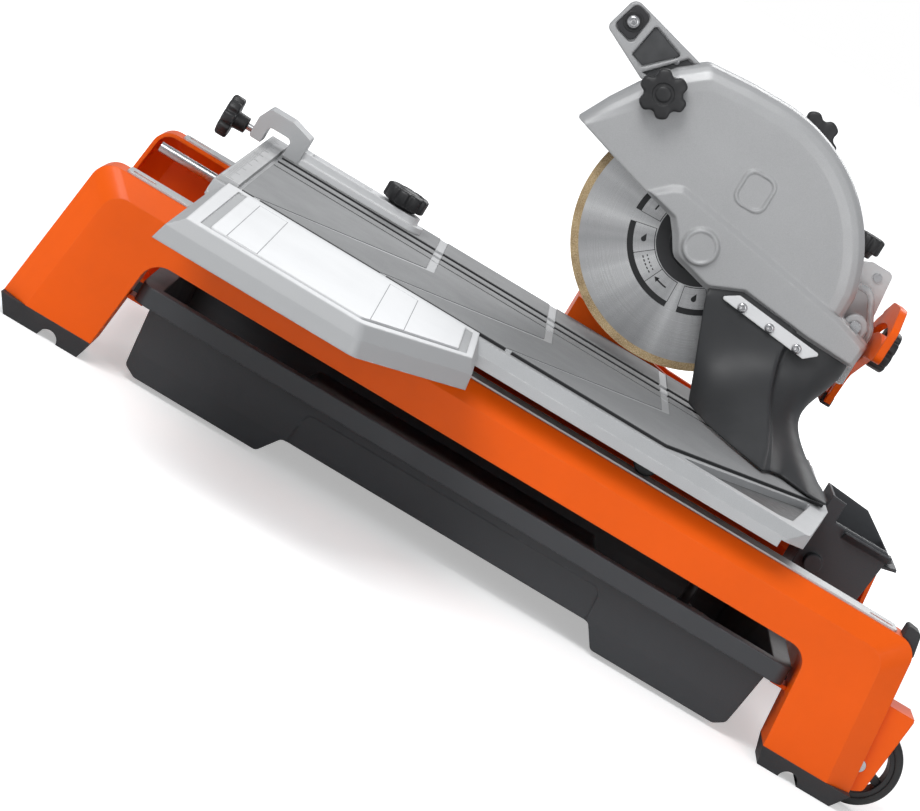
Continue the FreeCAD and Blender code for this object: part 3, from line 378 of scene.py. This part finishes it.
def stack(axis, centre, rings, close=True):
    """Solid from rings: each ring is (place along the axis, outline function of the angle)."""
    verts, faces, count = [], [], TURN_STEPS
    for along, radius in rings:
        for i in range(count):
            t = 2 * math.pi * i / count
            r = radius(t)
            verts.append(onto(axis, centre[0] + r * math.cos(t), centre[1] + r * math.sin(t), along))
    for k in range(len(rings) - 1):
        for i in range(count):
            j = (i + 1) % count
            faces.append((k * count + i, k * count + j, (k + 1) * count + j, (k + 1) * count + i))
    if close:
        faces.append(tuple(range(count)))
        faces.append(tuple(range((len(rings) - 1) * count, len(rings) * count)))
    return verts, faces


def lobed(radius, depth, count, sharp=2.2, inset=0.0, turn=0.0, broad=0.0):
    """Outline of a star knob: broad lobes with hollows between them."""
    def at(t):
        wave = math.tanh(sharp * (math.cos(count * (t + turn)) + broad))
        lo, hi = math.tanh(sharp * (broad - 1.0)), math.tanh(sharp * (broad + 1.0))
        return radius - depth * (hi - wave) / (hi - lo) - inset
    return at


def scalloped(radius, depth, count, inset=0.0):
    """Outline of a fluted knob: a round with narrow hollows."""
    def at(t):
        return radius - depth * max(0.0, math.cos(count * t)) ** 1.6 - inset
    return at


def plain(radius):
    return lambda t: radius


def knob(name, body, axis, centre, lo, hi, shape, inner, hub, hub_to, rod, rod_to, node):
    """Moulded knob: soft edges, a dished face with a raised cap, a hub and a threaded rod.
    The face is at hi; hub and rod run the other way from lo."""
    sign = 1.0 if hi > lo else -1.0
    rings = [(lo, shape(0.0018)), (lo + sign * 0.0006, shape(0.0007)), (lo + sign * 0.0018, shape(0.0)),
             (hi - sign * 0.0026, shape(0.0)), (hi - sign * 0.0010, shape(0.0008)), (hi, shape(0.0026)),
             (hi, plain(inner)), (hi - sign * 0.0012, plain(inner - 0.0010)),
             (hi - sign * 0.0012, plain(inner * 0.72)), (hi - sign * 0.0002, plain(inner * 0.66)),
             (hi + sign * 0.0004, plain(inner * 0.55)), (hi + sign * 0.0006, plain(inner * 0.2))]
    verts, faces = stack(axis, centre, rings)
    mesh_piece(name, verts, faces, body, knob_plastic, angle=50.0)
    rings = [(lo + sign * 0.001, plain(hub * 1.15)), (lo, plain(hub * 1.1)), (lo - sign * 0.002, plain(hub)),
             (hub_to + sign * 0.0008, plain(hub * 0.94)), (hub_to, plain(hub * 0.86))]
    verts, faces = stack(axis, centre, rings)
    mesh_piece(name + "_hub", verts, faces, body, knob_plastic, angle=50.0)
    pitch, rings = 0.00125, []
    turns = max(1, int(abs(rod_to - hub_to) / pitch))
    for i in range(turns):
        at = hub_to - sign * i * pitch
        rings += [(at, plain(rod * 0.88)), (at - sign * pitch * 0.5, plain(rod))]
    rings.append((rod_to, plain(rod * 0.85)))
    verts, faces = stack(axis, centre, rings)
    obj = mesh_piece(name + "_rod", verts, faces, body, steel, angle=80.0)
    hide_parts(node)


def knobs():
    turn = math.radians(3.7)
    front = lambda inset: lobed(0.0245, 0.0054, 6, 1.5, inset, turn, 0.35)
    rear = lambda inset: lobed(0.0260, 0.0058, 6, 1.5, inset, turn, 0.35)
    knob("front_star", "front_star", "y", (-0.016, 0.452), 0.101, 0.085, front, 0.0112, 0.010, 0.1046,
         0.004, 0.129, "star_knob_front")
    knob("rear_star", "rear_star", "y", (0.1365, 0.487), 0.172, 0.188, rear, 0.0115, 0.009, 0.1653,
         0.004, 0.158, "star_knob_rear")
    knob("side_knob_head", "guide_side_knob", "x", (0.168, 0.209), -0.362, -0.375,
         lambda inset: scalloped(0.022, 0.0028, 9, inset), 0.015, 0.009, -0.349, 0.004, -0.331, "side_knob")
    knob("top_knob_head", "guide_top_knob", "z", (-0.177, 0.168), 0.2215, 0.2370,
         lambda inset: scalloped(0.023, 0.0028, 9, inset), 0.016, 0.015, 0.2182, 0.004, 0.2065, "top_knob")
    t = math.radians(58.2)
    spot = (BEVEL_AXIS[0] + BEVEL_KNOB_REACH * math.cos(t), BEVEL_AXIS[1] + BEVEL_KNOB_REACH * math.sin(t))
    knob("bevel_knob_head", "bevel_lock", "x", spot, 0.305, 0.323,
         lambda inset: scalloped(0.0225, 0.003, 8, inset), 0.015, 0.012, 0.2996, 0.005, 0.281, "bevel_knob")
    knob("depth_knob_head", "depth_screw", "z", (0.241, 0.198), 0.418, 0.435,
         lambda inset: scalloped(0.015, 0.002, 8, inset), 0.010, 0.009, 0.412, 0.004, 0.372, "depth_knob")


def lathe(name, body, axis, centre, profile, finish, angle=40.0):
    """Turned ring: profile of (place along the axis, radius), closed on itself."""
    count = TURN_STEPS
    verts, faces = [], []
    for along, r in profile:
        for i in range(count):
            t = 2 * math.pi * i / count
            verts.append(onto(axis, centre[0] + r * math.cos(t), centre[1] + r * math.sin(t), along))
    n = len(profile)
    for k in range(n):
        for i in range(count):
            j = (i + 1) % count
            m = (k + 1) % n
            faces.append((k * count + i, k * count + j, m * count + j, m * count + i))
    return mesh_piece(name, verts, faces, body, finish, angle=angle)


def tyres():
    """Solid tyre with a crowned tread, two grooves and a bead."""
    for side, name in ((-1, "front"), (1, "rear")):
        half = [(0.0, 0.041), (0.003, 0.041), (0.0034, 0.0396), (0.0048, 0.0396), (0.0052, 0.0408),
                (0.0085, 0.0402), (0.0108, 0.0385), (0.0119, 0.0365), (0.0119, 0.0345), (0.0114, 0.0330)]
        profile = [(side * (WHEEL_Y + y), r) for y, r in half]
        profile += [(side * (WHEEL_Y - y), r) for y, r in reversed(half[1:])]
        obj = lathe("tyre_" + name + "_tread", name + "_wheel", "y", WHEEL_SPOT, profile, tyre_rubber)
        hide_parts("tyre_" + name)


def prism_faces(outline, axis, lo, hi, start=0):
    verts = [onto(axis, a, b, lo) for a, b in outline] + [onto(axis, a, b, hi) for a, b in outline]
    n = len(outline)
    faces = [tuple(start + i for i in range(n)), tuple(start + n + i for i in reversed(range(n)))]
    faces += [(start + i, start + (i + 1) % n, start + n + (i + 1) % n, start + n + i) for i in range(n)]
    return verts, faces


def prisms(name, outlines, axis, lo, hi, body, finish, smooth=False):
    """One piece from many flat outlines of the same thickness."""
    verts, faces = [], []
    for outline in outlines:
        v, f = prism_faces(outline, axis, lo, hi, len(verts))
        verts += v
        faces += f
    return mesh_piece(name, verts, faces, body, finish, smooth)


def sector(r0, r1, deg0, deg1, centre):
    steps = max(2, int(abs(deg1 - deg0) / 3))
    turn = [math.radians(deg0 + (deg1 - deg0) * i / steps) for i in range(steps + 1)]
    out = [(centre[0] + r1 * math.cos(t), centre[1] + r1 * math.sin(t)) for t in turn]
    return out + [(centre[0] + r0 * math.cos(t), centre[1] + r0 * math.sin(t)) for t in reversed(turn)]


def bar(a, b, width):
    """Thin rectangle from point a to point b."""
    d = Vector((b[0] - a[0], b[1] - a[1]))
    side = Vector((-d.y, d.x)).normalized() * width / 2
    a, b = Vector(a), Vector(b)
    return [tuple(a - side), tuple(b - side), tuple(b + side), tuple(a + side)]


# dark plastic of the bracket panels, also the colour of the painted shade sheet in the cart's pocket
inlay_and_pocket_shade = finish_of("bracket_inlay_and_pocket_shade", (0.060, 0.061, 0.063), 0.38, spread=0.25, blotch=45.0, grain=2200.0,
                  grain_height=0.00003, speck=0.2, wear=(0.16, 0.16, 0.16), wear_share=0.6, round_edge=0.0012)
groove_grey = finish_of("groove_grey", (0.30, 0.30, 0.31), 0.6, spread=0.15, blotch=60.0, grain=2500.0,
                        grain_height=0.000004, speck=0.2, round_edge=0.0001)
ink = finish_of("black_ink", (0.012, 0.012, 0.013), 0.35, spread=0.2, blotch=60.0, grain=2500.0,
                grain_height=0.000004, speck=0.3, round_edge=0.0001)


def blade_print():
    """Generic ink on the blade: rings, dividing lines, drop signs and turning arrows."""
    c = (BLADE_X, BLADE_Z)
    marks = []
    for k in range(4):
        a = 90.0 * k + 12.0
        marks.append(sector(0.0655, 0.0715, a, a + 80.0, c))
        marks.append(sector(0.0440, 0.0448, a, a + 80.0, c))
        for d in (0.0, 27.0, 54.0, 80.0):
            t = math.radians(a + d)
            inner = (c[0] + 0.044 * math.cos(t), c[1] + 0.044 * math.sin(t))
            outer = (c[0] + 0.066 * math.cos(t), c[1] + 0.066 * math.sin(t))
            marks.append(bar(inner, outer, 0.0006))
        t = math.radians(a + 13.5)
        mid = (c[0] + 0.0548 * math.cos(t), c[1] + 0.0548 * math.sin(t))
        drop = [(mid[0] + 0.0026 * math.cos(u), mid[1] - 0.001 + 0.0026 * math.sin(u))
                for u in [math.radians(150 + 12 * i) for i in range(21)]]
        marks.append(drop + [(mid[0], mid[1] + 0.0052)])
        marks.append(sector(0.0540, 0.0556, a + 59.0, a + 72.0, c))
        tip, tail = math.radians(a + 58.0 - 2.5), math.radians(a + 60.5)
        marks.append([(c[0] + 0.0548 * math.cos(tip), c[1] + 0.0548 * math.sin(tip)),
                      (c[0] + 0.0576 * math.cos(tail), c[1] + 0.0576 * math.sin(tail)),
                      (c[0] + 0.0520 * math.cos(tail), c[1] + 0.0520 * math.sin(tail))])
        for d in range(5):
            marks.append(sector(0.0520, 0.0532, a + 31.0 + 4 * d, a + 33.0 + 4 * d, c))
            marks.append(sector(0.0564, 0.0576, a + 31.0 + 4 * d, a + 33.5 + 4 * d, c))
    front = BLADE_Y - HALF_BLADE
    prisms("blade_print_front", marks, "y", front - INK_PROUD, front + INK_SUNK, "blade", ink)
    rear = BLADE_Y + HALF_BLADE
    prisms("blade_print_rear", marks, "y", rear - INK_SUNK, rear + INK_PROUD, "blade", ink)


def scales():
    """Plain measuring ticks on the end fence and on the bevel plate."""
    ticks = []
    for i in range(44):
        y = -0.205 + 0.01 * i
        reach = -0.3135 if i % 5 == 0 else -0.3175
        ticks.append([(-0.3235, y - 0.0003), (reach, y - 0.0003), (reach, y + 0.0003), (-0.3235, y + 0.0003)])
    prisms("fence_ticks", ticks, "z", 0.20598, 0.2061, "cart", ink)
    c, ticks = BEVEL_AXIS, []
    for i in range(19):
        t = math.radians(60.0 + 2.5 * i)
        out = 0.1785 if i % 2 == 0 else 0.1755
        ticks.append(bar((c[0] + 0.1705 * math.cos(t), c[1] + 0.1705 * math.sin(t)),
                         (c[0] + out * math.cos(t), c[1] + out * math.sin(t)), 0.0006))
    prisms("bevel_ticks", ticks, "x", 0.29898, 0.2991, "frame", ink)


def flap():
    """Rubber splash flap: a flat front panel with a crisp fold, and a bulge that wraps round the tail."""
    rows = [[(121, 105.5, 315), (150, 105.5, 329), (180, 105.5, 327), (211, 105.5, 325), (220, 108, 324),
             (240, 109, 324), (262, 111, 324), (276, 122, 322), (279, 140, 321), (266, 156, 319)],
            [(122, 102, 306), (150, 102, 314), (180, 102, 314), (211, 102, 314), (220, 106.5, 315),
             (240, 107, 317), (262, 109, 317), (278, 122, 315), (280, 140, 315), (266, 156, 314)],
            [(126, 101, 295), (152, 101, 295), (182, 100, 296), (211.5, 98, 297), (215, 108, 298),
             (240, 106, 300), (264, 111, 300), (280, 127, 300), (280, 142, 298), (264, 156, 296)],
            [(137, 98.5, 268), (159, 98, 269), (188, 94, 272), (217.5, 88, 275), (220, 103, 275),
             (240, 101, 276), (256, 109, 276), (270, 127, 275), (272, 142, 274), (258, 154, 272)],
            [(148.6, 96, 241), (170, 85, 243), (197, 70, 248), (223, 54, 252), (226, 74, 252),
             (240, 72, 251), (252, 82, 250), (259, 110, 248), (259, 138, 247), (252, 152, 246)],
            [(156.5, 95, 222), (177, 62, 224), (205, 25, 227), (237, -10, 229), (240, 16, 229),
             (254, 22, 229), (266, 16, 229), (276, 44, 229), (274, 96, 229), (258, 144, 226)],
            [(162.5, 94, 207.4), (180, 36, 207), (207, -10, 207), (240, -52, 207), (248, -28, 207),
             (262, -14, 207), (290, -34, 207), (311, -30, 207), (312, 60, 207), (270, 136, 207)]]
    verts = [(x / MM_IN_M, y / MM_IN_M, z / MM_IN_M) for row in rows for x, y, z in row]
    wide = len(rows[0])
    faces = [(k * wide + i, k * wide + i + 1, (k + 1) * wide + i + 1, (k + 1) * wide + i)
             for k in range(len(rows) - 1) for i in range(wide - 1)]
    obj = mesh_piece("flap_sheet", verts, faces, "guard", flap_rubber, angle=180.0)
    last = len(rows) - 1
    crease = obj.data.attributes.new("crease_edge", "FLOAT", "EDGE")
    for i, edge in enumerate(obj.data.edges):
        (row0, col0), (row1, col1) = [divmod(v, wide) for v in edge.vertices]
        fold = col0 == col1 and col0 in (3, 4)
        rim = row0 == row1 and row0 in (0, last) or col0 == col1 and col0 in (0, wide - 1)
        crease.data[i].value = FOLD_CREASE if fold else (RIM_CREASE if rim else 0.0)
    solid = obj.modifiers.new("sheet", "SOLIDIFY")
    solid.thickness = FLAP_THICK
    solid.offset = 0.0
    solid.edge_crease_rim = 0.6
    fine = obj.modifiers.new("fine", "SUBSURF")
    fine.levels = fine.render_levels = 3
    apply_all(obj)
    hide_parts("splash_flap")
    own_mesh(obj)


def apply_all(obj):
    """Bakes an object's modifiers into its own mesh."""
    bpy.context.view_layer.update()
    graph = bpy.context.evaluated_depsgraph_get()
    done = bpy.data.meshes.new_from_object(obj.evaluated_get(graph))
    obj.modifiers.clear()
    obj.data = done
    done.shade_smooth()


def frame_lines(corners, width):
    return [bar(corners[i], corners[(i + 1) % len(corners)], width) for i in range(len(corners))]


def tiles():
    """Outlines of two flush tiles on the extension's top."""
    first = [(-0.280, -0.4955), (-0.280, -0.245), (-0.252, -0.245), (-0.252, -0.4955)]
    second = [(-0.148, -0.485), (-0.148, -0.245), (-0.120, -0.245), (-0.120, -0.441)]
    lines = frame_lines(first, 0.0007) + frame_lines(second, 0.0007)
    prisms("extension_lines", lines, "z", 0.20388, 0.20396, "extension", groove_grey)


def hexagon(size):
    return lambda t: size / math.cos((t % (math.pi / 3)) - math.pi / 6)


def button(name, places, base, sign, radius, height, body):
    """Button-head screws along Y with a hexagon socket."""
    verts, faces = [], []
    for centre in places:
        rings = [(base, plain(radius)), (base + sign * height * 0.3, plain(radius)),
                 (base + sign * height * 0.7, plain(radius * 0.9)),
                 (base + sign * height * 0.95, plain(radius * 0.68)),
                 (base + sign * height, plain(radius * 0.5)), (base + sign * height, hexagon(radius * 0.42)),
                 (base + sign * height * 0.35, hexagon(radius * 0.40)),
                 (base + sign * height * 0.2, plain(radius * 0.05))]
        v, f = stack("y", centre, rings)
        faces += [tuple(i + len(verts) for i in face) for face in f]
        verts += v
    return mesh_piece(name, verts, faces, body, steel, angle=35.0)


def screws():
    obj = button("clamp_screws", [(0.158, 0.3145), (0.191, 0.311), (0.224, 0.3075)], 0.0970, -1, 0.005,
                 0.0028, "guard")
    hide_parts("flap_screws")
    button("handle_screw", [HANDLE_BOLT], 0.1332, -1, 0.0062, 0.0030, "head")
    lathe("handle_washer", "head", "y", HANDLE_BOLT,
          [(0.1335, 0.0105), (0.1330, 0.0101), (0.1330, 0.0078), (0.1335, 0.0074), (0.1345, 0.0074),
           (0.1345, 0.0105)],
          knob_plastic)


def inlays():
    """Dark moulded panels in the recesses of the handle bracket, and a dark sheet low in the cart's pocket
    that is painted shade, standing in for the shadow in the pocket.
    """
    panel = [(-0.0595, 0.4675), (-0.0540, 0.5020), (-0.0190, 0.4895), (-0.0220, 0.4865), (-0.0460, 0.4630)]
    strip = [(-0.0415, 0.4580), (-0.0110, 0.4905), (-0.0030, 0.4885), (-0.0030, 0.4560)]
    for name, outline, deep in (("bracket_panel", panel, 0.1375), ("bracket_strip", strip, 0.1380)):
        obj = prisms(name, [outline], "y", deep, 0.1389, "head", inlay_and_pocket_shade)
        edge = obj.modifiers.new("edge", "BEVEL")
        edge.width = 0.0012
        edge.segments = EDGE_SEGMENTS
        edge.limit_method = "ANGLE"
    button("bracket_screw", [(-0.0195, 0.4835)], 0.1380, -1, 0.0036, 0.0022, "head")
    # painted shade: a dark sheet low in the cart's pocket stands in for the shadow inside it
    pocket = [(0.1525, -0.2075), (0.2540, -0.2075), (0.2675, -0.1955), (0.2970, -0.0350)]
    prisms("pocket_shade_sheet", [pocket], "z", 0.1936, 0.1941, "cart", inlay_and_pocket_shade)


def end_cap():
    """Dark stop on the lower end of the quadrant plate."""
    outline = [(0.2385, 0.2600), (0.2715, 0.2600), (0.2700, 0.2720), (0.2400, 0.2720)]
    obj = prisms("quadrant_stop", [outline], "x", 0.2888, 0.3012, "frame", foot_rubber)
    edge = obj.modifiers.new("edge", "BEVEL")
    edge.width = 0.002
    edge.segments = EDGE_SEGMENTS
    edge.limit_method = "ANGLE"


knobs()
tyres()
blade_print()
scales()
flap()
tiles()
screws()
inlays()
end_cap()


# ---- stage ----
def floor():
    mesh = bpy.data.meshes.new("floor")
    h = FLOOR_HALF
    mesh.from_pydata([(-h, -h, 0), (h, -h, 0), (h, h, 0), (-h, h, 0)], [], [(0, 1, 2, 3)])
    obj = bpy.data.objects.new("floor", mesh)
    scene.collection.objects.link(obj)
    n = Nodes("floor")
    n.set("Base Color", n.mix(n.span(n.noise(0.8, 2.0), 0.3, 0.7), (0.86, 0.86, 0.86), (0.88, 0.88, 0.88)))
    n.set("Roughness", 0.9)
    n.set("Specular IOR Level", 0.1)
    away = n.add("ShaderNodeVectorMath", operation="LENGTH")
    n.link(n.place, away.inputs[0])
    glow = n.span(away.outputs["Value"], 0.7, 3.0, 0.42, 1.0)
    seen = n.add("ShaderNodeLightPath").outputs["Is Camera Ray"]
    n.set("Emission Color", (1.0, 1.0, 1.0, 1.0))
    n.set("Emission Strength", n.math("MULTIPLY", glow, seen))
    mesh.materials.append(n.mat)


def lamp(name, place, aim, size, power, color=(1.0, 1.0, 1.0)):
    data = bpy.data.lights.new(name, "AREA")
    data.shape = "RECTANGLE"
    data.size, data.size_y = size
    data.energy = power
    data.color = color
    obj = bpy.data.objects.new(name, data)
    obj.location = place
    obj.rotation_mode = "QUATERNION"
    obj.rotation_quaternion = (Vector(aim) - Vector(place)).to_track_quat("-Z", "Y")
    scene.collection.objects.link(obj)


def world():
    data = bpy.data.worlds.new("studio")
    scene.world = data
    data.use_nodes = True
    tree = data.node_tree
    back = tree.nodes["Background"]
    path = tree.nodes.new("ShaderNodeLightPath")
    seen = tree.nodes.new("ShaderNodeBackground")
    seen.inputs["Color"].default_value = (1, 1, 1, 1)
    back.inputs["Color"].default_value = (0.93, 0.96, 1.0, 1)
    back.inputs["Strength"].default_value = 0.42
    both = tree.nodes.new("ShaderNodeMixShader")
    tree.links.new(path.outputs["Is Camera Ray"], both.inputs[0])
    tree.links.new(back.outputs[0], both.inputs[1])
    tree.links.new(seen.outputs[0], both.inputs[2])
    tree.links.new(both.outputs[0], tree.nodes["World Output"].inputs["Surface"])


floor()
world()
lamp("key", (-1.3, -1.6, 2.4), (0.0, 0.0, 0.2), (1.6, 1.2), 52)
lamp("fill", (1.8, -2.6, 1.2), (0.0, 0.0, 0.2), (1.8, 1.6), 17)
lamp("back", (0.6, 2.6, 2.2), (0.0, 0.0, 0.3), (2.2, 1.4), 40)


# ---- camera ----
def camera():
    data = bpy.data.cameras.new("camera")
    data.lens = CAMERA_LENS
    data.sensor_width = 36.0
    data.clip_end = 200.0
    obj = bpy.data.objects.new("camera", data)
    scene.collection.objects.link(obj)
    place = Vector(CAMERA_PLACE) + FEET
    aim = Vector(CAMERA_AIM) + FEET
    roll = Quaternion((0, 0, 1), math.radians(CAMERA_ROLL))
    obj.rotation_mode = "QUATERNION"
    obj.location = place
    obj.rotation_quaternion = (aim - place).to_track_quat("-Z", "Y") @ roll
    scene.camera = obj


camera()
scene.view_settings.view_transform = "Standard"
